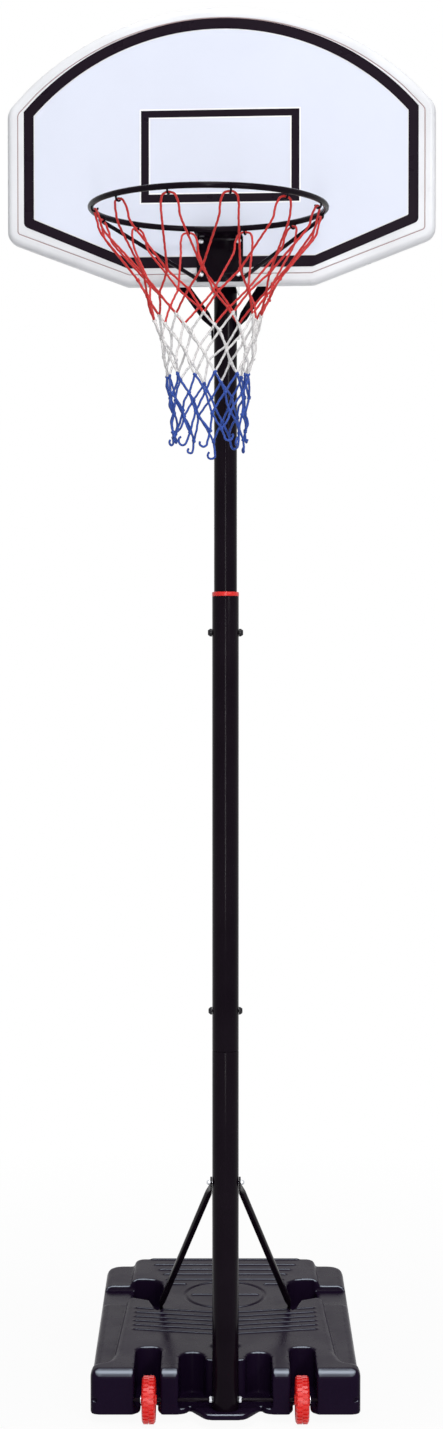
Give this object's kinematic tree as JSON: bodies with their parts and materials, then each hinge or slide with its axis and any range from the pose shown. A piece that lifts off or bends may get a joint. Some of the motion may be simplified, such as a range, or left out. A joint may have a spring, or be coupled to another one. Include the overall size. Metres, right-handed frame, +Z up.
{
  "type": "portable basketball stand",
  "caption": "Portable basketball stand: wheeled plastic base tank, telescoping round pole with rear struts, arched backboard, ring and net.",
  "frame": {"origin": "on the floor, under the middle of the base tank's footprint (the tongue and the wheels not counted)", "axes": "+Z up along the pole, -Y towards the players (the side of the ring), +X to the right seen from them"},
  "size_m": [0.8989, 1.4889, 3.04],
  "materials": {
    "tank_plastic": "satin",
    "water": "gloss",
    "black_paint": "gloss",
    "black_plastic": "satin",
    "red_plastic": "satin",
    "zinc_steel": "satin",
    "board_plastic": "satin",
    "net_cord": "woven"
  },
  "bodies": {
    "base": {"base_tank": "tank_plastic", "water_ballast": "water", "axle": "black_paint", "axle_nut_left": "zinc_steel", "axle_nut_right": "zinc_steel", "wheel_washer_left": "zinc_steel", "wheel_washer_right": "zinc_steel", "lower_pole": "black_paint", "middle_pole": "black_paint", "collar_sleeve": "red_plastic", "joint_bolt": "black_plastic", "joint_nut": "black_plastic", "strut_left": "black_paint", "strut_right": "black_paint", "strut_foot_screw_left": "black_plastic", "strut_foot_screw_right": "black_plastic", "strut_bolt": "zinc_steel", "strut_nut": "zinc_steel"},
    "left_wheel": {"wheel_left": "red_plastic"},
    "right_wheel": {"wheel_right": "red_plastic"},
    "cap": {"filler_cap": "black_plastic"},
    "left_clamp_screw": {"clamp_screw_left": "black_plastic"},
    "right_clamp_screw": {"clamp_screw_right": "black_plastic"},
    "head": {"upper_pole": "black_paint", "pole_top_cap": "black_plastic", "head_bracket": "black_paint", "backboard": "board_plastic", "v_brace_left": "black_paint", "v_brace_right": "black_paint", "v_brace_screw_left": "zinc_steel", "v_brace_screw_right": "zinc_steel", "ring_brace_left": "black_paint", "ring_brace_right": "black_paint", "v_brace_bolt": "zinc_steel", "v_brace_nut": "zinc_steel", "bracket_lower_bolt": "zinc_steel", "bracket_lower_nut": "zinc_steel", "bracket_upper_bolt": "zinc_steel", "bracket_upper_nut": "zinc_steel", "ring_plate": "black_paint", "ring": "black_paint", "net": "net_cord", "ring_bolt_lower_left": "zinc_steel", "ring_bolt_lower_right": "zinc_steel", "ring_bolt_upper_left": "zinc_steel", "ring_bolt_upper_right": "zinc_steel", "ring_nut_lower_left": "zinc_steel", "ring_nut_lower_right": "zinc_steel", "ring_nut_upper_left": "zinc_steel", "ring_nut_upper_right": "zinc_steel"}
  },
  "joints": [
    {"name": "left_wheel_roll", "type": "hinge", "parent": "base", "child": "left_wheel", "pos_m": [-0.17, -0.389, 0.0525], "axis": [1, 0, 0], "continuous": true},
    {"name": "right_wheel_roll", "type": "hinge", "parent": "base", "child": "right_wheel", "pos_m": [0.17, -0.389, 0.0525], "axis": [1, 0, 0], "continuous": true},
    {"name": "filler_cap_lift", "type": "slide", "parent": "base", "child": "cap", "axis": [0, 0, 1], "range_m": [0, 0.03]},
    {"name": "left_clamp_screw_turn", "type": "hinge", "parent": "base", "child": "left_clamp_screw", "pos_m": [-0.032, -0.389, 1.735], "axis": [-1, 0, 0], "range_deg": [0, 720]},
    {"name": "right_clamp_screw_turn", "type": "hinge", "parent": "base", "child": "right_clamp_screw", "pos_m": [0.032, -0.389, 1.735], "axis": [1, 0, 0], "range_deg": [0, 720]},
    {"name": "height_slide", "type": "slide", "parent": "base", "child": "head", "axis": [0, 0, 1], "range_m": [-0.5, 0]}
  ]
}
